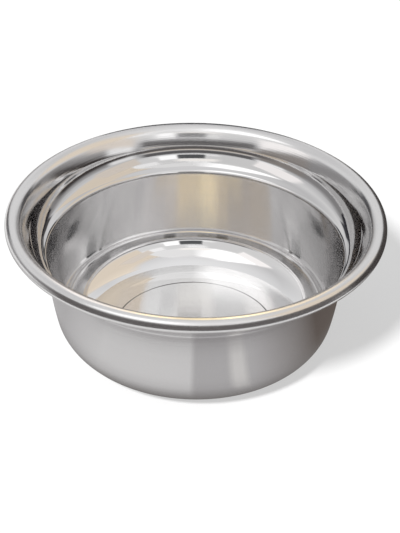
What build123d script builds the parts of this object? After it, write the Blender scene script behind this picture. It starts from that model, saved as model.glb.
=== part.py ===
"""Stainless dog bowl: one drawn sheet with a rolled rim, on a rubber ring bonded under its base.

Millimetres, +Z up. The origin is on the surface that the bowl stands on, below its middle.
The bowl's section is a path that starts on the axis and runs outwards along the floor, up the wall
and round the rim. A heading is the path's direction in degrees: 0 is outwards, 90 is up.
"""
from build123d import *
import os
from math import cos, radians, sin

# Overall sizes of the steel
rim_diameter = 176.0
shell_height = 67.3
sheet_thickness = 0.6

# Floor: a centre panel pressed up a little, then a flat shelf that the ring is bonded under
shelf_width = 8.4
panel_lift = 0.6
panel_bend_radius = 0.6
panel_step_slope = 45.0

# Radii of the middle of the sheet, from the floor to the rim
heel_radius = 19.0
shoulder_radius = 2.3
cove_lower_radius = 7.4
cove_upper_radius = 20.5
crease_radius = 0.9
rim_slope_radius = 41.0
bead_inner_radius = 5.2
bead_radius = 2.95

# Headings where one stretch of the section passes into the next
floor_heading = 0.0
heel_top_heading = 78.5
wall_top_heading = 88.9
shoulder_heading = 24.5
cove_heading = 49.5
cove_top_heading = 75.0
crease_heading = 69.0
bead_start_heading = 60.0
rim_top_heading = 0.0
rim_outermost_heading = -90.0
curl_end_heading = -245.0

# Rubber ring and the adhesive above it
ring_width = 7.0
ring_height = 1.5
ring_margin = 0.8
ring_edge_radius = 0.4
groove_width = 1.0
groove_depth = 0.5
groove_count = 2
film_thickness = 0.15
film_margin = 0.5


def turn_sign(start, end):
    """1 for a bend to the left (upwards), -1 for one to the right."""
    return 1 if end > start else -1


def reach(radius, start, end):
    """How far outwards a bend between two headings goes."""
    return turn_sign(start, end) * radius * (sin(radians(end)) - sin(radians(start)))


def rise(radius, start, end):
    """How far upwards a bend between two headings goes."""
    return turn_sign(start, end) * radius * (cos(radians(start)) - cos(radians(end)))


# The bends above the wall, from the shoulder to the top of the rolled bead
upper_bends = [
    (shoulder_radius, wall_top_heading, shoulder_heading),
    (cove_lower_radius, shoulder_heading, cove_heading),
    (cove_upper_radius, cove_heading, cove_top_heading),
    (crease_radius, cove_top_heading, crease_heading),
    (rim_slope_radius, crease_heading, bead_start_heading),
    (bead_inner_radius, bead_start_heading, rim_top_heading),
]
heel_bend = (heel_radius, floor_heading, heel_top_heading)

# The wall takes up what is left of the height, and the flat what is left of the rim's radius
bead_reach = reach(bead_radius, rim_top_heading, rim_outermost_heading)
wall_rise = shell_height - sheet_thickness - rise(*heel_bend) - sum(rise(*stretch) for stretch in upper_bends)
wall_radius = wall_rise / rise(1.0, heel_top_heading, wall_top_heading)
wall_bend = (wall_radius, heel_top_heading, wall_top_heading)
bend_reach = sum(reach(*stretch) for stretch in [heel_bend, wall_bend, *upper_bends]) + bead_reach
flat_radius = rim_diameter / 2 - sheet_thickness / 2 - bend_reach

# The step round the centre panel: two equal bends with a short slope between them
step_bend_rise = panel_bend_radius * (1 - cos(radians(panel_step_slope)))
step_bend_reach = panel_bend_radius * sin(radians(panel_step_slope))
step_slope_length = (panel_lift - 2 * step_bend_rise) / sin(radians(panel_step_slope))
step_reach = 2 * step_bend_reach + step_slope_length * cos(radians(panel_step_slope))
panel_radius = flat_radius - shelf_width - step_reach

# Heights and radii of the pieces under the base
base_height = ring_height + film_thickness
ring_outer_radius = flat_radius - ring_margin
ring_inner_radius = ring_outer_radius - ring_width


def straight(length):
    """A straight stretch of the section."""
    return ("straight", length, 0.0)


def bend(radius, start, end):
    """A round stretch of the section between two headings."""
    return ("bend", radius, end - start)


def shell_path():
    """The stretches of the middle of the sheet, from the axis to the end of the curl."""
    return [
        straight(panel_radius),
        bend(panel_bend_radius, floor_heading, -panel_step_slope),
        straight(step_slope_length),
        bend(panel_bend_radius, -panel_step_slope, floor_heading),
        straight(shelf_width),
        bend(*heel_bend),
        bend(*wall_bend),
        *[bend(*stretch) for stretch in upper_bends],
        bend(bead_radius, rim_top_heading, curl_end_heading),
    ]


def sheet_side(path, start_height, offset):
    """One face of the sheet: the path moved sideways by offset, to its left if positive."""
    place = Vector(0, start_height + offset)
    heading = Vector(1, 0)
    edges = []
    for kind, size, turn in path:
        if kind == "straight":
            edge = Line(place, place + heading * size)
        else:
            radius = size - offset if turn > 0 else size + offset
            edge = JernArc(place, heading, radius, turn)
        edges.append(edge)
        place = edge @ 1
        heading = edge % 1
    return edges


def bowl_shell():
    """The drawn sheet, revolved from its section."""
    middle_height = base_height + sheet_thickness / 2 + panel_lift
    upper = sheet_side(shell_path(), middle_height, sheet_thickness / 2)
    lower = sheet_side(shell_path(), middle_height, -sheet_thickness / 2)
    axis_end = Line(lower[0] @ 0, upper[0] @ 0)
    curl_end = Line(upper[-1] @ 1, lower[-1] @ 1)
    section = make_face([*upper, curl_end, *lower, axis_end])
    return revolve(Plane.XZ * section, Axis.Z)


def band(inner_radius, outer_radius, bottom, top):
    """The section of a flat ring."""
    middle = ((inner_radius + outer_radius) / 2, (bottom + top) / 2)
    return Pos(*middle) * Rectangle(outer_radius - inner_radius, top - bottom)


def non_slip_ring():
    """The rubber ring, with round grooves in the face that it stands on."""
    section = band(ring_inner_radius, ring_outer_radius, 0.0, ring_height)
    section = fillet(section.vertices().group_by(Axis.Y)[0], ring_edge_radius)
    groove_pitch = ring_width / (groove_count + 1)
    for number in range(groove_count):
        groove_middle = ring_inner_radius + groove_pitch * (number + 1)
        inner = groove_middle - groove_width / 2
        section -= band(inner, inner + groove_width, -groove_depth, groove_depth)
    return revolve(Plane.XZ * section, Axis.Z)


def bond_film():
    """The adhesive between the rubber ring and the steel."""
    section = band(ring_inner_radius + film_margin, ring_outer_radius - film_margin, ring_height, base_height)
    return revolve(Plane.XZ * section, Axis.Z)


def main():
    """Writes one file for each piece."""
    os.makedirs("parts", exist_ok=True)
    pieces = {"bowl_shell": bowl_shell(), "non_slip_ring": non_slip_ring(), "bond_film": bond_film()}
    for name, piece in pieces.items():
        piece.label = name
        export_step(piece, f"parts/{name}.step")
    print("flat radius", round(flat_radius, 2), "panel radius", round(panel_radius, 2))
    print("wall radius", round(wall_radius, 1), "wall rise", round(wall_rise, 2))


if __name__ == "__main__":
    main()
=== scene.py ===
"""Stainless dog bowl in a small studio: a drawn and polished steel shell on a bonded rubber ring.

Metres, +Z up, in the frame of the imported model. The shell's section is a path that starts on the axis and
runs outwards along the floor, up the wall and round the rim. A heading is the path's direction: 0 is
outwards and a quarter turn is up. Directions round the bowl are azimuths from the back, positive to the
right.
"""
from math import ceil, cos, pi, radians, sin, tau

import bpy
from bpy.props import FloatProperty, FloatVectorProperty, IntProperty, PointerProperty
from mathutils import Matrix, Vector


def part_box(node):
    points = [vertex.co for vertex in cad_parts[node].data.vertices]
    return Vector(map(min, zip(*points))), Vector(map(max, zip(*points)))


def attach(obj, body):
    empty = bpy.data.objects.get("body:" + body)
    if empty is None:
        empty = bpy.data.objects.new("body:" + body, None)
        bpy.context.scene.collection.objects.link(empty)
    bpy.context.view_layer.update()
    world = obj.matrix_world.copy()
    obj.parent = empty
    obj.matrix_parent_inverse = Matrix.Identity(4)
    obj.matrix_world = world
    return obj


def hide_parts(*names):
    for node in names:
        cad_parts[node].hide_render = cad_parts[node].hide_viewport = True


bl_info = {
    "name": "Stainless Dog Bowl",
    "version": (1, 0, 0),
    "blender": (4, 5, 0),
    "location": "3D View > Sidebar > Dog Bowl",
    "description": "Makes a polished steel dog bowl on a rubber ring, and the studio round it",
    "category": "Add Mesh",
}

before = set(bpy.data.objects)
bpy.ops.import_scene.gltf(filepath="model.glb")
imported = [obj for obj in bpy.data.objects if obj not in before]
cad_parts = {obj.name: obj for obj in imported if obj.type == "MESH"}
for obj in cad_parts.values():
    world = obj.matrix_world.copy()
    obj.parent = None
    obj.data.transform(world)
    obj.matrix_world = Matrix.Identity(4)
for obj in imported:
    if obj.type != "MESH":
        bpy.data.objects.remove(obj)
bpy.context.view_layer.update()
shell_low, shell_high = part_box("bowl_shell")


def linear(code):
    """The linear colour of an sRGB hex code."""
    parts = [int(code[place:place + 2], 16) / 255 for place in (1, 3, 5)]
    return tuple(p / 12.92 if p <= 0.04045 else ((p + 0.055) / 1.055) ** 2.4 for p in parts)


def length(label, about, default):
    """A size in metres that a user may change."""
    return FloatProperty(
        name=label, description=about, default=default, min=0.0, precision=5, unit="LENGTH"
    )


def angle(label, about, degrees):
    """An angle that a user may change, from degrees."""
    return FloatProperty(name=label, description=about, default=radians(degrees), subtype="ANGLE")


def factor(label, about, default):
    """A number between 0 and 1 that a user may change."""
    return FloatProperty(
        name=label, description=about, default=default, min=0.0, max=1.0, subtype="FACTOR"
    )


def colour(label, about, code):
    """A colour that a user may change."""
    return FloatVectorProperty(
        name=label, description=about, default=linear(code), min=0.0, max=1.0, size=3, subtype="COLOR"
    )


class ShellSizes(bpy.types.PropertyGroup):
    """Sizes of the drawn steel, along the middle of its sheet."""

    rim_diameter: length("Rim diameter", "Outside of the rolled rim", shell_high.x - shell_low.x)
    shell_height: length(
        "Shell height", "From under the floor to the top of the rim", shell_high.z - shell_low.z
    )
    base_height: length("Base height", "From the surface that it stands on to the steel", shell_low.z)
    sheet_thickness: length("Sheet thickness", "Thickness of the drawn sheet", 0.0006)
    shelf_width: length("Shelf width", "Flat band round the centre panel", 0.0084)
    panel_lift: length("Panel lift", "How far the centre panel is pressed up", 0.0006)
    panel_bend_radius: length("Panel bend radius", "Bends of the step round the centre panel", 0.0006)
    heel_radius: length("Heel radius", "Bend from the floor into the wall", 0.019)
    shoulder_radius: length("Shoulder radius", "Bend outwards at the top of the wall", 0.0023)
    cove_lower_radius: length("Lower cove radius", "Hollow bend above the shoulder", 0.0074)
    cove_upper_radius: length("Upper cove radius", "Wider hollow bend below the rim", 0.0205)
    crease_radius: length("Crease radius", "Small bend between cove and rim", 0.0009)
    rim_slope_radius: length("Rim slope radius", "Gentle bend up to the bead", 0.041)
    bead_inner_radius: length("Inner bead radius", "Inner side of the rolled bead", 0.0052)
    bead_radius: length("Bead radius", "Outer side of the rolled bead", 0.00295)
    panel_step_slope: angle("Panel step slope", "Slope of the step round the centre panel", 45.0)
    heel_top: angle("Heel top", "Heading where the heel meets the wall", 78.5)
    wall_top: angle("Wall top", "Heading where the wall meets the shoulder", 88.9)
    shoulder: angle("Shoulder", "Heading where the shoulder meets the cove", 24.5)
    cove: angle("Cove", "Heading where the lower cove meets the upper", 49.5)
    cove_top: angle("Cove top", "Heading where the cove meets the crease", 75.0)
    crease: angle("Crease", "Heading where the crease meets the rim slope", 69.0)
    bead_start: angle("Bead start", "Heading where the rim slope meets the bead", 60.0)
    curl_end: angle("Curl end", "Heading where the rolled bead ends", -245.0)
    turns: IntProperty(
        name="Turns", description="Steps of the lathe round the axis", default=216, min=24
    )
    bend_step: angle("Bend step", "Largest turn between two points of the section", 4.5)


class SteelFinish(bpy.types.PropertyGroup):
    """Colours and finish of the steel, the rubber and the adhesive."""

    # Painted light and shade: one steel is given a different brightness in each zone, lightest on the floor
    # and darkest on the wall and the cove
    outside_steel: colour("Outside steel", "What the steel of the outside reflects", "#E2E1E2")
    floor_steel: colour("Floor steel", "What the steel of the floor reflects", "#F9F9F9")
    heel_steel: colour("Heel steel", "What the steel of the heel and the rim reflects", "#D8D7D7")
    wall_steel: colour("Wall steel", "What the steel of the wall and the cove reflects", "#CECDCD")
    mirror_roughness: factor("Mirror roughness", "Polish of the floor and the heel", 0.04)
    cove_roughness: factor("Cove roughness", "Polish of the cove", 0.06)
    wall_roughness: factor("Wall roughness", "Polish of the wall, across its lines", 0.12)
    rim_roughness: factor("Rim roughness", "Polish of the rolled bead", 0.23)
    outside_roughness: factor("Outside roughness", "Polish of the outside, across its lines", 0.16)
    line_spacing: length("Line spacing", "Spacing of the polishing lines", 0.0007)
    rubber: colour("Rubber", "Moulded rubber of the ring", "#2B2B2D")
    # Painted shade: the colour of a dark line drawn along the step of the floor
    step_shade: colour("Residue", "Dried polishing compound along the step of the floor", "#2E2826")
    adhesive: colour("Adhesive", "Cured adhesive above the ring", "#CDC7B4")


class StudioLook(bpy.types.PropertyGroup):
    """Camera, light and floor."""

    floor: colour("Floor", "Painted floor", "#F4F4F4")
    floor_glow: factor("Floor glow", "Share of plain white in the floor that the camera sees", 0.5)
    sun_strength: FloatProperty(
        name="Sun strength", description="Light that casts the shadow", default=3.9, min=0.0
    )
    sun_azimuth: angle("Sun azimuth", "Where the light comes from", -152.0)
    sun_elevation: angle("Sun elevation", "How high the light stands", 46.0)
    sun_size: angle("Sun size", "Width of the light, which softens the shadow", 8.0)
    ambient: factor("Ambient", "Even light from all round", 0.34)
    camera_distance: length("Camera distance", "From the camera to the bowl's axis", 0.704)
    camera_elevation: angle("Camera elevation", "How high the camera stands", 36.48)
    camera_roll: angle("Camera roll", "How far the camera leans", 1.09)
    lens: FloatProperty(name="Lens", description="Focal length in millimetres", default=97.6, min=1.0)


class DogBowl(bpy.types.PropertyGroup):
    """All the settings of the bowl."""

    sizes: PointerProperty(type=ShellSizes)
    finish: PointerProperty(type=SteelFinish)
    studio: PointerProperty(type=StudioLook)


def add(tree, kind, inputs=(), **settings):
    """A new node with its settings; each input is a constant or the socket that feeds it."""
    node = tree.nodes.new(kind)
    for name, value in settings.items():
        setattr(node, name, value)
    for name, value in dict(inputs).items():
        socket = node.inputs[name]
        if isinstance(value, bpy.types.NodeSocket):
            tree.links.new(value, socket)
        else:
            socket.default_value = value
    return node


def new_material(name):
    """An empty material and its node tree."""
    material = bpy.data.materials.new(name)
    material.use_nodes = True
    material.node_tree.nodes.clear()
    return material, material.node_tree


def surface(tree, shader):
    """Ends a material's tree."""
    add(tree, "ShaderNodeOutputMaterial", {"Surface": shader})


# The section of the sheet, and the zones of its finish in the order that the section passes them
zones = ["Floor", "Heel", "Wall", "Cove", "Rim", "Outside"]

# Largest spacing of the section's points along a flat and along a bend, how near to its ends a flat has
# points, and what counts as one point when the lathe closes its seam, in metres
flat_spacing = 0.003
bend_spacing = 0.001
flat_margin = 0.0002
weld_distance = 0.000001
least_bend_pieces = 6
least_shell_faces = 1000


def rise(radius, start, end):
    """How far upwards a bend between two headings goes."""
    return (1 if end > start else -1) * radius * (cos(start) - cos(end))


def reach(radius, start, end):
    """How far outwards a bend between two headings goes."""
    return (1 if end > start else -1) * radius * (sin(end) - sin(start))


def shell_stretches(sizes):
    """The stretches of the sheet's middle: length or radius, start and end heading, and zone."""
    heel = (sizes.heel_radius, 0.0, sizes.heel_top)
    cove = [
        (sizes.shoulder_radius, sizes.wall_top, sizes.shoulder),
        (sizes.cove_lower_radius, sizes.shoulder, sizes.cove),
        (sizes.cove_upper_radius, sizes.cove, sizes.cove_top),
        (sizes.crease_radius, sizes.cove_top, sizes.crease),
    ]
    rim_inside = [
        (sizes.rim_slope_radius, sizes.crease, sizes.bead_start),
        (sizes.bead_inner_radius, sizes.bead_start, 0.0),
    ]
    above_wall = cove + rim_inside

    # The wall takes up what is left of the height, and the flat what is left of the rim's radius
    bends_rise = rise(*heel) + sum(rise(*stretch) for stretch in above_wall)
    wall_rise = sizes.shell_height - sizes.sheet_thickness - bends_rise
    wall = (wall_rise / rise(1.0, sizes.heel_top, sizes.wall_top), sizes.heel_top, sizes.wall_top)
    bends_reach = sum(reach(*stretch) for stretch in [heel, wall, *above_wall])
    outermost = sizes.rim_diameter / 2 - sizes.sheet_thickness / 2
    flat = outermost - bends_reach - reach(sizes.bead_radius, 0.0, -pi / 2)

    # The step round the centre panel: two equal bends with a short slope between them
    slope = sizes.panel_step_slope
    bend = sizes.panel_bend_radius
    slope_length = (sizes.panel_lift - 2 * bend * (1 - cos(slope))) / sin(slope)
    step_reach = 2 * bend * sin(slope) + slope_length * cos(slope)
    panel = flat - sizes.shelf_width - step_reach
    if min(wall_rise, panel, slope_length) <= 0:
        raise ValueError("these sizes leave no room for the wall, the panel or its step")
    floor = [
        (panel, 0.0, None),
        (bend, 0.0, -slope),
        (slope_length, -slope, None),
        (bend, -slope, 0.0),
        (sizes.shelf_width, 0.0, None),
    ]
    rim = [*rim_inside, (sizes.bead_radius, 0.0, sizes.curl_end)]
    by_zone = {"Floor": floor, "Heel": [heel], "Wall": [wall], "Cove": cove, "Rim": rim}
    return [(*stretch, zones.index(zone)) for zone, stretches in by_zone.items() for stretch in stretches]


def shell_section(sizes):
    """Points of both faces of the sheet, from the axis out and back, each with its zone."""
    half = sizes.sheet_thickness / 2
    place = Vector((0.0, sizes.base_height + half + sizes.panel_lift))
    middle = [(place.copy(), 0.0, zones.index("Floor"))]
    for size, start, end, zone in shell_stretches(sizes):
        if end is None:
            direction = Vector((cos(start), sin(start)))
            # Points crowd near the ends, so that the smooth shading of a bend doesn't reach into the flat
            near = min(flat_margin, size / 4)
            inner = max(1, ceil((size - 2 * near) / flat_spacing))
            steps = [near + (size - 2 * near) * k / inner for k in range(inner + 1)]
            middle += [(place + direction * step, start, zone) for step in [*steps, size]]
            place = place + direction * size
            continue
        side = 1 if end > start else -1
        centre = place + side * size * Vector((-sin(start), cos(start)))
        turn = abs(end - start)
        pieces = max(least_bend_pieces, ceil(turn / sizes.bend_step), ceil(size * turn / bend_spacing))
        for k in range(1, pieces + 1):
            heading = start + (end - start) * k / pieces
            place = centre - side * size * Vector((-sin(heading), cos(heading)))
            middle.append((place.copy(), heading, zone))
    outside = zones.index("Outside")
    upper = [(p + half * Vector((-sin(h), cos(h))), zone) for p, h, zone in middle]
    lower = [(p - half * Vector((-sin(h), cos(h))), outside) for p, h, _ in reversed(middle)]
    return upper + lower


def lathe_tree(name):
    """Geometry nodes that turn a section about the axis into a closed, welded shell with its finishes."""
    tree = bpy.data.node_groups.new(name, "GeometryNodeTree")
    tree.interface.new_socket("Shell", in_out="OUTPUT", socket_type="NodeSocketGeometry")
    for label, kind in (
        ("Section", "NodeSocketGeometry"),
        ("Turns", "NodeSocketInt"),
        ("Weld", "NodeSocketFloat"),
        *[(zone, "NodeSocketMaterial") for zone in zones],
    ):
        tree.interface.new_socket(label, in_out="INPUT", socket_type=kind)
    given = add(tree, "NodeGroupInput").outputs
    count = add(
        tree, "GeometryNodeAttributeDomainSize", {"Geometry": given["Section"]}
    ).outputs["Point Count"]
    columns = add(tree, "ShaderNodeMath", {0: given["Turns"], 1: 1.0}, operation="ADD").outputs[0]
    grid = add(tree, "GeometryNodeMeshGrid", {"Vertices X": columns, "Vertices Y": count})
    mapped = add(
        tree,
        "GeometryNodeStoreNamedAttribute",
        {"Geometry": grid.outputs["Mesh"], "Name": "UVMap", "Value": grid.outputs["UV Map"]},
        data_type="FLOAT2",
        domain="CORNER",
    ).outputs[0]
    number = add(tree, "GeometryNodeInputIndex").outputs[0]
    ratio = add(tree, "ShaderNodeMath", {0: number, 1: count}, operation="DIVIDE").outputs[0]
    column = add(tree, "ShaderNodeMath", {0: ratio}, operation="FLOOR").outputs[0]
    row = add(tree, "ShaderNodeMath", {0: number, 1: count}, operation="MODULO").outputs[0]
    turned = add(tree, "ShaderNodeMath", {0: column, 1: given["Turns"]}, operation="DIVIDE").outputs[0]
    heading = add(tree, "ShaderNodeMath", {0: turned, 1: tau}, operation="MULTIPLY").outputs[0]
    where = add(tree, "GeometryNodeInputPosition").outputs[0]
    point = add(
        tree,
        "GeometryNodeSampleIndex",
        {"Geometry": given["Section"], "Value": where, "Index": row},
        data_type="FLOAT_VECTOR",
    ).outputs[0]
    zone = add(tree, "GeometryNodeInputNamedAttribute", {"Name": "zone"}, data_type="FLOAT").outputs[0]
    row_zone = add(
        tree,
        "GeometryNodeSampleIndex",
        {"Geometry": given["Section"], "Value": zone, "Index": row},
        data_type="FLOAT",
    ).outputs[0]
    spun = add(
        tree, "ShaderNodeVectorRotate", {"Vector": point, "Angle": heading}, rotation_type="Z_AXIS"
    ).outputs[0]
    stored = add(
        tree,
        "GeometryNodeStoreNamedAttribute",
        {"Geometry": mapped, "Name": "zone", "Value": row_zone},
        data_type="FLOAT",
        domain="POINT",
    ).outputs[0]
    placed = add(tree, "GeometryNodeSetPosition", {"Geometry": stored, "Position": spun}).outputs[0]
    welded = add(
        tree, "GeometryNodeMergeByDistance", {"Geometry": placed, "Distance": given["Weld"]}
    ).outputs[0]
    smooth = add(tree, "GeometryNodeSetShadeSmooth", {"Geometry": welded}).outputs[0]
    whole = add(tree, "GeometryNodeRealizeInstances", {"Geometry": smooth}).outputs[0]
    for order, label in enumerate(zones):
        past = add(
            tree, "FunctionNodeCompare", {"A": zone, "B": order - 0.5}, operation="GREATER_THAN"
        ).outputs[0]
        whole = add(
            tree,
            "GeometryNodeSetMaterial",
            {"Geometry": whole, "Selection": past, "Material": given[label]},
        ).outputs[0]
    add(tree, "NodeGroupOutput", {"Shell": whole})
    return tree


def bake(piece):
    """Turns what a piece's modifiers give into its plain mesh."""
    bpy.context.view_layer.update()
    evaluated = piece.evaluated_get(bpy.context.evaluated_depsgraph_get())
    mesh = bpy.data.meshes.new_from_object(evaluated)
    piece.modifiers.clear()
    old = piece.data
    piece.data = mesh
    bpy.data.meshes.remove(old)
    mesh.name = piece.name
    return mesh


# Materials

# Where the painted shade along the step of the floor lies, in metres: radius and width of its line, width
# of the line's soft edge, the point where it is widest, and how far from there it starts and ends to narrow
step_shade_radius = 0.0386
step_shade_width = 0.0016
step_shade_edge = 0.00015
step_shade_place = (-0.007, 0.0379, 0.0026)
step_shade_narrowing = (0.006, 0.02)

# The slope of the rim is polished finer towards the crease: radii where the finish changes, and the
# roughness at the first of them
rim_fade = (0.0775, 0.0815, 0.08)

# The heel's colour is painted brighter towards the floor, a painted light: radii where its colour changes
heel_light_blend = (0.049, 0.0585)

# Sizes of the patterns in metres: patches of haze and waves of the steel, the depth of its lines for each
# unit of roughness, grain, pits and bloom of the rubber, and strokes of the adhesive
haze_size = 0.03
wave_length = 0.025
line_depth = 0.00006
rubber_grain = 0.0005
rubber_pit_depth = 0.00008
rubber_bloom = 0.012
adhesive_stroke = 0.003
adhesive_stroke_depth = 0.0001

# Colour of the bloom and of thin adhesive, as multiples of the plain rubber and the full film
bloom_share = 1.9
thin_film_share = 0.8


def painted_step_shade(tree, place, radius, steel, step_shade):
    """Steel colour with a thin dark line of painted shade along the step of the floor."""
    # Painted shade: a dark line along the step, widest on one side of the back
    thickest = add(
        tree, "ShaderNodeVectorMath", {0: place, 1: step_shade_place}, operation="DISTANCE"
    ).outputs["Value"]
    half = add(
        tree,
        "ShaderNodeMapRange",
        {
            "Value": thickest,
            "From Min": step_shade_narrowing[0],
            "From Max": step_shade_narrowing[1],
            "To Min": step_shade_width / 2,
            "To Max": step_shade_width / 3,
        },
    ).outputs[0]
    aside = add(tree, "ShaderNodeMath", {0: radius, 1: step_shade_radius}, operation="SUBTRACT").outputs[0]
    apart = add(tree, "ShaderNodeMath", {0: aside}, operation="ABSOLUTE").outputs[0]
    inside = add(tree, "ShaderNodeMath", {0: half, 1: apart}, operation="SUBTRACT").outputs[0]
    cover = add(tree, "ShaderNodeMapRange", {"Value": inside, "From Max": step_shade_edge}).outputs[0]
    return add(
        tree, "ShaderNodeMix", {0: cover, 6: (*steel, 1.0), 7: (*step_shade, 1.0)}, data_type="RGBA"
    ).outputs[2]


def polished_steel(
    name, finish, steel, roughness, spread, smear, waviness, line=False, fade=None, inner=None
):
    """Stainless steel polished on a turning bowl.

    The roughness varies by spread. Smear is how far the lines draw out a reflection, and waviness the
    height of the sheet's waves. Line adds a painted dark line of shade along the step of the floor, fade
    gives two radii and the roughness at the first, and inner is a brighter colour painted towards the
    floor, a painted light.
    """
    # Austenitic stainless sheet, drawn and then polished with a wheel while the bowl turns. The eye sees a
    # neutral grey mirror, faint lines that run round the bowl, and a slow waviness from the drawing. The
    # lines smear a reflection across themselves, up and down the wall, and leave it sharp along themselves.
    material, tree = new_material(name)
    place = add(tree, "ShaderNodeTexCoord").outputs["Object"]
    parts = add(tree, "ShaderNodeSeparateXYZ", {"Vector": place}).outputs
    flat = add(tree, "ShaderNodeCombineXYZ", {"X": parts["X"], "Y": parts["Y"]}).outputs[0]
    radius = add(tree, "ShaderNodeVectorMath", {0: flat}, operation="LENGTH").outputs["Value"]
    # Lines that keep their radius and height run all the way round; real ones are about a tenth as wide
    section = add(tree, "ShaderNodeCombineXYZ", {"X": radius, "Y": parts["Z"]}).outputs[0]
    lines = add(
        tree,
        "ShaderNodeTexNoise",
        {"Vector": section, "Scale": 1.0 / finish.line_spacing, "Detail": 2.0, "Roughness": 0.6},
        noise_dimensions="2D",
    ).outputs[0]
    # Haze left by the wheel and by washing
    haze = add(
        tree,
        "ShaderNodeTexNoise",
        {"Vector": place, "Scale": 1.0 / haze_size, "Detail": 3.0, "Roughness": 0.55},
    ).outputs[0]
    mixed = add(tree, "ShaderNodeMath", {0: lines, 1: haze}, operation="ADD").outputs[0]
    gloss = add(
        tree,
        "ShaderNodeMapRange",
        {
            "Value": mixed,
            "From Min": 0.6,
            "From Max": 1.4,
            "To Min": roughness - spread,
            "To Max": roughness + spread,
        },
    ).outputs[0]
    if fade:
        first, last, smoother = fade
        share = add(
            tree,
            "ShaderNodeMapRange",
            {"Value": radius, "From Min": first, "From Max": last, "To Min": smoother / roughness},
        ).outputs[0]
        gloss = add(tree, "ShaderNodeMath", {0: gloss, 1: share}, operation="MULTIPLY").outputs[0]
    # Painted shade: a dark line along the step of the floor's panel
    tint = painted_step_shade(tree, place, radius, steel, finish.step_shade) if line else (*steel, 1.0)
    # Painted light: the heel's colour brightens towards the floor
    if inner:
        share = add(
            tree,
            "ShaderNodeMapRange",
            {"Value": radius, "From Min": heel_light_blend[0], "From Max": heel_light_blend[1]},
        ).outputs[0]
        tint = add(
            tree, "ShaderNodeMix", {0: share, 6: (*inner, 1.0), 7: (*steel, 1.0)}, data_type="RGBA"
        ).outputs[2]
    # The drawn sheet is not quite true: long waves a few micrometres high
    waves = add(
        tree, "ShaderNodeTexNoise", {"Vector": place, "Scale": 1.0 / wave_length, "Detail": 0.0}
    ).outputs[0]
    bent = add(
        tree, "ShaderNodeBump", {"Strength": 1.0, "Distance": waviness, "Height": waves}
    ).outputs[0]
    scored = add(
        tree,
        "ShaderNodeBump",
        {"Strength": 1.0, "Distance": line_depth * roughness, "Height": lines, "Normal": bent},
    ).outputs[0]
    along_lines = add(tree, "ShaderNodeTangent", direction_type="UV_MAP", uv_map="UVMap").outputs[0]
    quarter_turn = 0.25
    shader = add(
        tree,
        "ShaderNodeBsdfPrincipled",
        {
            "Base Color": tint,
            "Metallic": 1.0,
            "Roughness": gloss,
            "Normal": scored,
            "Anisotropic": smear,
            "Anisotropic Rotation": quarter_turn,
            "Tangent": along_lines,
        },
    )
    surface(tree, shader.outputs[0])
    return material


def shell_finishes(finish):
    """The steel of each zone of the shell."""
    # Each zone's steel takes its own painted brightness from the finish's colours
    return {
        "Floor": polished_steel(
            "stainless steel, mirror polished floor",
            finish,
            finish.floor_steel,
            finish.mirror_roughness,
            spread=0.015,
            smear=0.0,
            waviness=0.000004,
            line=True,
        ),
        "Heel": polished_steel(
            "stainless steel, mirror polished heel",
            finish,
            finish.heel_steel,
            finish.mirror_roughness,
            spread=0.015,
            smear=0.0,
            waviness=0.000004,
            inner=finish.floor_steel,
        ),
        "Wall": polished_steel(
            "stainless steel, wheel polished wall",
            finish,
            finish.wall_steel,
            finish.wall_roughness,
            spread=0.02,
            smear=1.0,
            waviness=0.000003,
        ),
        "Cove": polished_steel(
            "stainless steel, mirror polished cove",
            finish,
            finish.wall_steel,
            finish.cove_roughness,
            spread=0.015,
            smear=0.0,
            waviness=0.000003,
        ),
        "Rim": polished_steel(
            "stainless steel, satin polished rim",
            finish,
            finish.heel_steel,
            finish.rim_roughness,
            spread=0.03,
            smear=0.4,
            waviness=0.000002,
            fade=rim_fade,
        ),
        "Outside": polished_steel(
            "stainless steel, wheel polished outside",
            finish,
            finish.outside_steel,
            finish.outside_roughness,
            spread=0.02,
            smear=1.0,
            waviness=0.000003,
        ),
    }


def moulded_rubber(finish):
    """Black rubber from a mould."""
    # Natural rubber filled with carbon black: nearly black, dull, with the fine grain of a blasted mould
    # and a pale bloom where it has been handled.
    material, tree = new_material("moulded black rubber")
    place = add(tree, "ShaderNodeTexCoord").outputs["Object"]
    grain = add(
        tree, "ShaderNodeTexNoise", {"Vector": place, "Scale": 1.0 / rubber_grain, "Detail": 2.0}
    ).outputs[0]
    bloom = add(
        tree,
        "ShaderNodeTexNoise",
        {"Vector": place, "Scale": 1.0 / rubber_bloom, "Detail": 4.0, "Roughness": 0.6},
    ).outputs[0]
    tint = add(tree, "ShaderNodeValToRGB", {"Fac": bloom})
    tint.color_ramp.elements[0].position = 0.35
    tint.color_ramp.elements[0].color = (*finish.rubber, 1.0)
    tint.color_ramp.elements[1].position = 0.75
    tint.color_ramp.elements[1].color = (*[value * bloom_share for value in finish.rubber], 1.0)
    dull = add(
        tree,
        "ShaderNodeMapRange",
        {"Value": bloom, "From Min": 0.3, "From Max": 0.7, "To Min": 0.62, "To Max": 0.82},
    ).outputs[0]
    pitted = add(
        tree, "ShaderNodeBump", {"Strength": 0.5, "Distance": rubber_pit_depth, "Height": grain}
    ).outputs[0]
    shader = add(
        tree,
        "ShaderNodeBsdfPrincipled",
        {"Base Color": tint.outputs[0], "Roughness": dull, "Normal": pitted, "IOR": 1.52},
    )
    surface(tree, shader.outputs[0])
    return material


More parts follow.
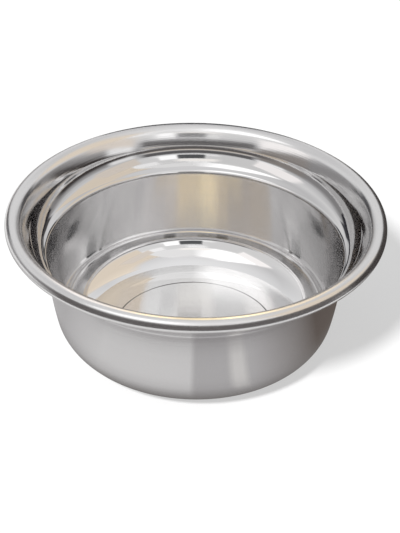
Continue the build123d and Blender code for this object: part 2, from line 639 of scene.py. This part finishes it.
def cured_adhesive(finish):
    """Adhesive that has set between the rubber and the steel."""
    # Contact adhesive that was brushed on and has set: a dull cream film with slow, uneven strokes.
    material, tree = new_material("cured contact adhesive")
    place = add(tree, "ShaderNodeTexCoord").outputs["Object"]
    strokes = add(
        tree, "ShaderNodeTexNoise", {"Vector": place, "Scale": 1.0 / adhesive_stroke, "Detail": 3.0}
    ).outputs[0]
    tint = add(tree, "ShaderNodeValToRGB", {"Fac": strokes})
    tint.color_ramp.elements[0].position = 0.3
    tint.color_ramp.elements[0].color = (*[value * thin_film_share for value in finish.adhesive], 1.0)
    tint.color_ramp.elements[1].position = 0.7
    tint.color_ramp.elements[1].color = (*finish.adhesive, 1.0)
    uneven = add(
        tree, "ShaderNodeBump", {"Strength": 0.4, "Distance": adhesive_stroke_depth, "Height": strokes}
    ).outputs[0]
    shader = add(
        tree,
        "ShaderNodeBsdfPrincipled",
        {"Base Color": tint.outputs[0], "Roughness": 0.5, "Normal": uneven, "IOR": 1.48},
    )
    surface(tree, shader.outputs[0])
    return material


# Stage

# Distances of the tent, its panels, the floor's edge and the lamp, in metres, and the elevation where the
# tent ends, in degrees
tent_radius = 4.0
tent_bottom = -2
first_panel_distance = 3.6
panel_gap = 0.08
floor_half = 6.0
lamp_distance = 2

# Where the camera looks, as shares of the rim's radius
aim_right_share = 0.0253
aim_height_share = 0.413

# Widest gaps between the points of a card, in degrees round the bowl or up, and in millimetres
turn_step = 4.0
table_step = 40.0
skirt_step = 20.0
ring_step = 4.0
near_step = 8.0

# A ray runs round the cove many times before it gets out
mirror_bounces = 24
plain_white = (1.0, 1.0, 1.0, 1.0)
millimetres_per_metre = 1000


def glow_material(name, side):
    """Paper and cloth that glow on both sides, or only on the front or the back."""
    # Lit paper and tent cloth: an even glow that fades out at the edges. Colour and cover come with each
    # card.
    material, tree = new_material(name)
    glow = add(tree, "ShaderNodeAttribute", attribute_name="glow")
    cover = glow.outputs["Alpha"]
    behind = add(tree, "ShaderNodeNewGeometry").outputs["Backfacing"]
    if side == "front":
        behind = add(tree, "ShaderNodeMath", {0: 1.0, 1: behind}, operation="SUBTRACT").outputs[0]
    if side != "both":
        cover = add(tree, "ShaderNodeMath", {0: cover, 1: behind}, operation="MULTIPLY").outputs[0]
    clear = add(tree, "ShaderNodeBsdfTransparent").outputs[0]
    light = add(tree, "ShaderNodeEmission", {"Color": glow.outputs["Color"]}).outputs[0]
    both = add(tree, "ShaderNodeMixShader", {0: cover, 1: clear, 2: light}).outputs[0]
    surface(tree, both)
    material.cycles.emission_sampling = "NONE"
    return material


def dome_material():
    """The light tent itself: brighter overhead than at the floor."""
    # White tent cloth lit from outside: a soft even white above and a grey gloom near the floor.
    material, tree = new_material("white tent cloth")
    place = add(tree, "ShaderNodeTexCoord").outputs["Object"]
    unit = add(tree, "ShaderNodeVectorMath", {0: place}, operation="NORMALIZE").outputs[0]
    height = add(tree, "ShaderNodeSeparateXYZ", {"Vector": unit}).outputs["Z"]
    ramp = add(tree, "ShaderNodeValToRGB", {"Fac": height})
    stops = [
        (0.0, "#A3A3A4"),
        (0.156, "#BCBCBD"),
        (0.326, "#DADADB"),
        (0.454, "#F0F0F1"),
        (0.53, "#FBFBFB"),
        (0.66, "#EEEEEF"),
        (0.78, "#E2E2E3"),
        (0.94, "#F4F4F5"),
        (1.0, "#FBFBFC"),
    ]
    while len(ramp.color_ramp.elements) < len(stops):
        ramp.color_ramp.elements.new(0.5)
    for element, (position, code) in zip(ramp.color_ramp.elements, stops):
        element.position = position
        element.color = (*linear(code), 1.0)
    light = add(tree, "ShaderNodeEmission", {"Color": ramp.outputs[0]}).outputs[0]
    surface(tree, light)
    material.cycles.emission_sampling = "NONE"
    return material


def stage_mesh(name, points, faces, material, glow=None):
    """A mesh that belongs to the studio; glow gives the light and the cover of each point."""
    mesh = bpy.data.meshes.new(name)
    mesh.from_pydata(points, [], faces)
    mesh.materials.append(material)
    if glow is not None:
        layer = mesh.attributes.new("glow", "FLOAT_COLOR", "POINT")
        for item, value in zip(layer.data, glow):
            item.color = value
    thing = bpy.data.objects.new(name, mesh)
    bpy.context.scene.collection.objects.link(thing)
    return thing


def only_reflected(thing):
    """Hides a studio piece from everything but reflections."""
    thing.visible_camera = False
    thing.visible_diffuse = False
    thing.visible_transmission = False
    thing.visible_volume_scatter = False
    thing.visible_shadow = False


def fade_lines(low, high, soft, step):
    """Places of a card's rows, each with its cover, in steps through both fades and between them."""
    stops = [(low, 0.0), (low + soft[0], 1.0), (high - soft[1], 1.0), (high, 0.0)]
    rows = [stops[0]]
    for (start, cover), (end, end_cover) in zip(stops, stops[1:]):
        # A coarse step would cut across the curve of a card, behind the card that it should hide
        count = max(1, ceil((end - start) / step))
        rows += [
            (start + (end - start) * k / count, cover + (end_cover - cover) * k / count)
            for k in range(1, count + 1)
        ]
    return rows


def hang_card(row, steps, material, place_of):
    """A sheet with faded edges from a row of the tables; place_of gives a point from its coordinates."""
    name, left, right, low, high, fades, code, brightness = row
    across = fade_lines(left, right, fades[:2], steps[0])
    up = fade_lines(low, high, fades[2:], steps[1])
    light = [value * brightness for value in linear(code)]
    points = [place_of(a, b) for a, _ in across for b, _ in up]
    glow = [(*light, cover_a * cover_b) for _, cover_a in across for _, cover_b in up]
    rows = len(up)
    faces = [
        (a * rows + b, (a + 1) * rows + b, (a + 1) * rows + b + 1, a * rows + b + 1)
        for a in range(len(across) - 1)
        for b in range(rows - 1)
    ]
    only_reflected(stage_mesh(name, points, faces, material, glow))


def towards(azimuth, elevation, distance):
    """A point in a direction from the bowl, in degrees."""
    a = radians(azimuth)
    e = radians(elevation)
    return Vector((sin(a) * cos(e), cos(a) * cos(e), sin(e))) * distance


def round_axis(azimuth, radius, height):
    """A point round the bowl's axis, from degrees and millimetres."""
    level = towards(azimuth, 0.0, radius / millimetres_per_metre)
    return level + Vector((0, 0, height / millimetres_per_metre))


# Panels hung in the tent: name, azimuths, elevations, fades at the left, right, bottom and top, all in
# degrees, then colour and brightness
tent_panels = [
    ("dark_side_left", -122, -40, -2, 21, (8, 8, 1, 7), "#FBF9FA", 0.34),
    ("dark_side_right", 40, 120, -2, 21, (8, 8, 1, 7), "#FBF8F8", 0.34),
    ("dark_back", -48, 48, -2, 16, (8, 8, 1, 5), "#FFF5F2", 0.26),
    ("fill_low", 124, 204, 24, 52, (2, 16, 4, 4), "#FFFFFF", 0.95),
    ("key_low", -184, -94, 22, 52, (26, 8, 5, 4), "#FFFFFF", 0.9),
    ("fill_middle", 168, 194, 40, 53, (6, 6, 4, 3), "#FFFFFF", 1.2),
    ("fill_panel", 118, 150, 38, 52, (2, 4, 3, 3), "#FFFFFF", 1.25),
    ("fill_softbox", 124, 204, 48, 82, (2, 16, 4, 8), "#FFFFFF", 1.1),
    ("key_softbox", -184, -94, 48, 82, (26, 8, 4, 6), "#FFFFFF", 1.75),
    ("beige_card", 46, 127, 27, 68, (6, 1, 4, 6), "#FFF1DE", 1.0),
    ("back_right_flag", 29, 50, 9, 27, (4, 4, 3, 3), "#F2F4FF", 0.08),
    ("back_left_flag", -50, -29, 9, 27, (4, 4, 3, 3), "#F2F4FF", 0.08),
    ("back_flag", 2, 50, 17, 23, (2, 4, 1.5, 1.5), "#FFF8F0", 0.1),
    ("front_low", 140, 222, -2, 15, (8, 8, 1, 2), "#FFF4E6", 0.9),
    ("front_dark_strip", 138, 224, 15, 24, (6, 6, 1, 1), "#FAF6F8", 0.16),
    ("front_grey_strip", 144, 200, 25.5, 31, (6, 6, 1, 1), "#FFFFFF", 1.15),
    ("front_white_card", 150, 165, 27, 40, (2, 1, 1.5, 2), "#FFFFFF", 1.6),
    ("front_dark_card", 165, 187, 27, 40, (1, 2, 1.5, 2), "#F2F5FA", 0.14),
    ("side_dark_low", -142, -96, 1, 19, (8, 8, 3, 2), "#FFF6F0", 0.34),
    ("side_white_sliver", -140, -112, 20, 25, (8, 5, 1, 1.5), "#FFFFFF", 1.3),
    ("side_white_strip", 114, 138, 9, 22, (5, 5, 3, 3), "#FFFFFF", 1.1),
]

# Cards lying on the table round the bowl, seen only in reflections: a painted shadow of the bowl on the
# table, grey all round and darkest at the contact and at the right, with a painted pool of light at the
# left front and a light streak at the front. Name, azimuths in degrees, radii in millimetres, fades at the
# left, right, inner and outer edge, colour and brightness. Each lies a hair above the one before.
card_gap = 0.2
table_cards = [
    ("table_card", -180, 180, 45, 230, (0, 0, 4, 30), "#FFFDFD", 0.52),
    ("table_shadow_card_right", 30, 150, 50, 220, (30, 46, 4, 20), "#FFECE0", 0.14),
    ("table_card_light_left", -181, -96, 55, 210, (3, 34, 14, 20), "#FFFEFD", 0.74),
    ("table_card_streak", 151, 163, 66, 120, (4, 4, 12, 14), "#FFFDFA", 0.74),
    ("table_contact_shadow_card", -180, 180, 40, 80, (0, 0, 4, 22), "#FFF9F6", 0.22),
]

# Low dark skirts in front and at the right, which the outer side of the rim shows: name, azimuths, heights
# in millimetres, fades, colour and brightness
skirts = [
    ("front_skirt", 108, 252, 6, 95, (20, 20, 2, 5), "#FBF3F2", 0.16),
    ("right_skirt", 38, 126, 12, 97, (12, 12, 4, 12), "#FFF2EE", 0.07),
]
skirt_radius = 120

# Small cards that stand upright close to the bowl, most of which only the inside of the wall shows: name,
# left, right, bottom and top in millimetres, fades, colour and brightness, then the axis that the card
# faces, its place on that axis and the side that shows
near_cards = [
    ("wall_grey_back", -66, -16, 95, 165, (6, 8, 8, 12), "#FFF8F2", 1.5, "Y", 31, "front"),
    ("wall_beige_back", 18, 66, 95, 165, (6, 6, 8, 12), "#FFEDD0", 1.4, "Y", 30.5, "front"),
    ("wall_cream", -36, 39, 95, 165, (13, 8, 8, 12), "#FFEBC4", 2.1, "Y", 30, "front"),
    ("wall_cream_core", -2, 26.5, 95, 165, (10, 1.2, 8, 12), "#FFECC0", 2.6, "Y", 29.5, "front"),
    ("floor_white", -36, 36, 154, 190, (14, 14, 6, 8), "#FFFCF8", 1.35, "Y", -60, "back"),
    ("low_wall_cream", -10, 14, 77, 122, (4, 4, 4, 4), "#FFEBC4", 1.4, "Y", -20, "front"),
    ("low_wall_core", -1, 7.5, 77, 122, (3, 0.6, 4, 4), "#FFECC0", 1.7, "Y", -21, "front"),
    ("wall_grey_left", -28, 42, 100, 147, (6, 8, 6, 4), "#FFFCFB", 1.35, "X", -60, "front"),
    ("wall_beige_right", -28, 38, 100, 147, (6, 8, 6, 4), "#FFF4E8", 0.95, "X", 60, "back"),
    ("back_strip", -54, 54, 70, 85, (5, 5, 2, 3), "#E8ECFF", 0.04, "Y", 100, "both"),
]

# A white ring just outside the front of the bowl, which shows as a thin line under the rim: name, azimuths,
# radii in millimetres, fades, colour and brightness
under_rim = ("under_rim_strip", 96, 264, 95, 116, (24, 24, 1.5, 4), "#FFFFFF", 1.0)
under_rim_height = 42


def hang_panels(material):
    """The panels of the tent, each nearer than the one before."""
    for number, row in enumerate(tent_panels):
        distance = first_panel_distance - panel_gap * number
        hang_card(row, (turn_step, turn_step), material, lambda a, e, d=distance: towards(a, e, d))


def lay_cards(material):
    """The cards on the table, the skirts and the ring under the rim."""
    # The table cards glow with the painted shade and light of the table, which only the steel shows
    for number, row in enumerate(table_cards):
        height = card_gap + card_gap * number
        hang_card(row, (turn_step, table_step), material, lambda a, r, h=height: round_axis(a, r, h))
    for row in skirts:
        hang_card(row, (turn_step, skirt_step), material, lambda a, z: round_axis(a, skirt_radius, z))
    hang_card(
        under_rim, (turn_step, ring_step), material, lambda a, r: round_axis(a, r, under_rim_height)
    )


def near_place(axis, place, across, up):
    """A point of a card that faces along X or Y, from millimetres."""
    point = (place, across, up) if axis == "X" else (across, place, up)
    return Vector(point) / millimetres_per_metre


def stand_cards(materials):
    """The small cards close to the bowl; materials holds one for each side that may show."""
    for *row, axis, place, side in near_cards:
        hang_card(
            row,
            (near_step, near_step),
            materials[side],
            lambda a, z, on=axis, at=place: near_place(on, at, a, z),
        )


def raise_dome(material):
    """The tent over the bowl."""
    rings = 24
    turns = 96
    points = [
        towards(360 * k / turns, tent_bottom + (90 - tent_bottom) * j / rings, tent_radius)
        for j in range(rings)
        for k in range(turns)
    ]
    top = len(points)
    points.append(Vector((0, 0, tent_radius)))
    faces = [
        (j * turns + k, j * turns + (k + 1) % turns, (j + 1) * turns + (k + 1) % turns, (j + 1) * turns + k)
        for j in range(rings - 1)
        for k in range(turns)
    ]
    faces += [((rings - 1) * turns + k, (rings - 1) * turns + (k + 1) % turns, top) for k in range(turns)]
    only_reflected(stage_mesh("light_tent", points, faces, material))


def white_seen(tree):
    """1 for rays that should find the plain white background, and 0 for those that carry light."""
    path = add(tree, "ShaderNodeLightPath").outputs
    seen = add(
        tree, "ShaderNodeMath", {0: path["Is Camera Ray"], 1: path["Is Glossy Ray"]}, operation="MAXIMUM"
    ).outputs[0]
    return add(
        tree, "ShaderNodeMath", {0: seen, 1: path["Is Transmission Ray"]}, operation="MAXIMUM"
    ).outputs[0]


def lay_floor(studio):
    """A white floor that keeps the bowl's shadow."""
    # Matt white paint on board: an even white with a soft shadow.
    material, tree = new_material("matt white painted board")
    share = add(
        tree, "ShaderNodeMath", {0: white_seen(tree), 1: studio.floor_glow}, operation="MULTIPLY"
    ).outputs[0]
    paint = add(tree, "ShaderNodeBsdfDiffuse", {"Color": (*studio.floor, 1.0)}).outputs[0]
    white = add(tree, "ShaderNodeEmission", {"Color": plain_white, "Strength": 1.0}).outputs[0]
    surface(tree, add(tree, "ShaderNodeMixShader", {0: share, 1: paint, 2: white}).outputs[0])
    material.cycles.emission_sampling = "NONE"
    half = floor_half
    corners = [(-half, -half, 0.0), (half, -half, 0.0), (half, half, 0.0), (-half, half, 0.0)]
    stage_mesh("studio_floor", corners, [(0, 1, 2, 3)], material)


def light_world(studio):
    """Even light from all round, and a white background."""
    world = bpy.data.worlds.new("studio")
    world.use_nodes = True
    tree = world.node_tree
    tree.nodes.clear()
    even = add(
        tree, "ShaderNodeBackground", {"Color": plain_white, "Strength": studio.ambient}
    ).outputs[0]
    white = add(tree, "ShaderNodeBackground", {"Color": plain_white, "Strength": 1.0}).outputs[0]
    both = add(tree, "ShaderNodeMixShader", {0: white_seen(tree), 1: even, 2: white}).outputs[0]
    add(tree, "ShaderNodeOutputWorld", {"Surface": both})
    bpy.context.scene.world = world


def hang_sun(studio):
    """The lamp that casts the shadow to the right."""
    lamp = bpy.data.lights.new("shadow_lamp", "SUN")
    lamp.energy = studio.sun_strength
    lamp.angle = studio.sun_size
    thing = bpy.data.objects.new("shadow_lamp", lamp)
    a = studio.sun_azimuth
    e = studio.sun_elevation
    direction = Vector((sin(a) * cos(e), cos(a) * cos(e), sin(e)))
    thing.rotation_mode = "QUATERNION"
    thing.rotation_quaternion = direction.to_track_quat("Z", "Y")
    thing.location = direction * lamp_distance
    thing.visible_glossy = False
    bpy.context.scene.collection.objects.link(thing)


def set_camera(sizes, studio):
    """The camera at the photograph's angle."""
    radius = sizes.rim_diameter / 2
    ground = sizes.base_height + sizes.sheet_thickness / 2
    e = studio.camera_elevation
    place = Vector((0.0, -cos(e), sin(e))) * studio.camera_distance + Vector((0, 0, ground))
    aim = Vector((aim_right_share * radius, 0.0, aim_height_share * radius + ground))
    back = (place - aim).normalized()
    right = Vector((0, 0, 1)).cross(back).normalized()
    up = back.cross(right)
    c = cos(studio.camera_roll)
    s = sin(studio.camera_roll)
    turned_right = c * right + s * up
    turned_up = c * up - s * right
    camera = bpy.data.cameras.new("camera")
    camera.lens = studio.lens
    camera.sensor_width = 36.0
    camera.clip_start = 0.01
    camera.clip_end = 20.0
    thing = bpy.data.objects.new("camera", camera)
    axes = Matrix((turned_right, turned_up, back)).transposed()
    thing.matrix_world = Matrix.Translation(place) @ axes.to_4x4()
    bpy.context.scene.collection.objects.link(thing)
    bpy.context.scene.camera = thing


class DOGBOWL_OT_steel_shell(bpy.types.Operator):
    """Turn the drawn and polished steel shell"""

    bl_idname = "dog_bowl.steel_shell"
    bl_label = "Steel shell"

    def execute(self, context):
        settings = context.scene.dog_bowl
        section = shell_section(settings.sizes)
        points = [(p.x, 0.0, p.y) for p, _ in section]
        edges = [(k, k + 1) for k in range(len(section) - 1)]
        mesh = bpy.data.meshes.new("steel_shell")
        mesh.from_pydata(points, edges, [])
        zone = mesh.attributes.new("zone", "FLOAT", "POINT")
        zone.data.foreach_set("value", [value for _, value in section])
        shell = bpy.data.objects.new("steel_shell", mesh)
        context.scene.collection.objects.link(shell)
        tree = lathe_tree("shell_lathe")
        lathe = shell.modifiers.new("lathe", "NODES")
        lathe.node_group = tree
        values = {
            "Turns": settings.sizes.turns,
            "Weld": weld_distance,
            **shell_finishes(settings.finish),
        }
        for item in tree.interface.items_tree:
            if item.in_out == "INPUT" and item.name in values:
                lathe[item.identifier] = values[item.name]
        made = bake(shell)
        if len(made.polygons) < least_shell_faces:
            raise RuntimeError("the lathe made no shell")
        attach(shell, "root")
        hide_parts("bowl_shell")
        return {"FINISHED"}


class DOGBOWL_OT_ring_and_film(bpy.types.Operator):
    """Give the rubber ring and the adhesive above it their materials"""

    bl_idname = "dog_bowl.ring_and_film"
    bl_label = "Rubber ring and adhesive"

    def execute(self, context):
        finish = context.scene.dog_bowl.finish
        materials = {"non_slip_ring": moulded_rubber(finish), "bond_film": cured_adhesive(finish)}
        for node, material in materials.items():
            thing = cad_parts[node]
            if not thing.material_slots:
                raise RuntimeError(node + " has no material slot")
            for place in thing.material_slots:
                place.material = material
        return {"FINISHED"}


class DOGBOWL_OT_studio(bpy.types.Operator):
    """Set up the floor, the light, the light tent and the camera"""

    bl_idname = "dog_bowl.studio"
    bl_label = "Studio"

    def execute(self, context):
        settings = context.scene.dog_bowl
        context.scene.view_settings.view_transform = "Standard"
        context.scene.cycles.max_bounces = mirror_bounces
        context.scene.cycles.glossy_bounces = mirror_bounces
        sides = ("both", "front", "back")
        glow = {side: glow_material("lit tent cloth, " + side, side) for side in sides}
        lay_floor(settings.studio)
        raise_dome(dome_material())
        hang_panels(glow["both"])
        lay_cards(glow["both"])
        stand_cards(glow)
        light_world(settings.studio)
        hang_sun(settings.studio)
        set_camera(settings.sizes, settings.studio)
        return {"FINISHED"}


class DOGBOWL_PT_panel(bpy.types.Panel):
    """Settings of the bowl in the sidebar"""

    bl_label = "Dog Bowl"
    bl_idname = "DOGBOWL_PT_panel"
    bl_space_type = "VIEW_3D"
    bl_region_type = "UI"
    bl_category = "Dog Bowl"

    def draw(self, context):
        settings = context.scene.dog_bowl
        for operator in (DOGBOWL_OT_steel_shell, DOGBOWL_OT_ring_and_film, DOGBOWL_OT_studio):
            self.layout.operator(operator.bl_idname)
        for group in (settings.sizes, settings.finish, settings.studio):
            box = self.layout.box()
            for name in group.__annotations__:
                box.prop(group, name)


classes = (
    ShellSizes,
    SteelFinish,
    StudioLook,
    DogBowl,
    DOGBOWL_OT_steel_shell,
    DOGBOWL_OT_ring_and_film,
    DOGBOWL_OT_studio,
    DOGBOWL_PT_panel,
)


def register():
    """Adds the classes and the settings."""
    for item in classes:
        bpy.utils.register_class(item)
    bpy.types.Scene.dog_bowl = PointerProperty(type=DogBowl)


def unregister():
    """Takes them away again."""
    del bpy.types.Scene.dog_bowl
    for item in reversed(classes):
        bpy.utils.unregister_class(item)


def main():
    """Makes the bowl and its studio."""
    register()
    bpy.ops.dog_bowl.steel_shell()
    bpy.ops.dog_bowl.ring_and_film()
    bpy.ops.dog_bowl.studio()


if __name__ == "__main__":
    main()
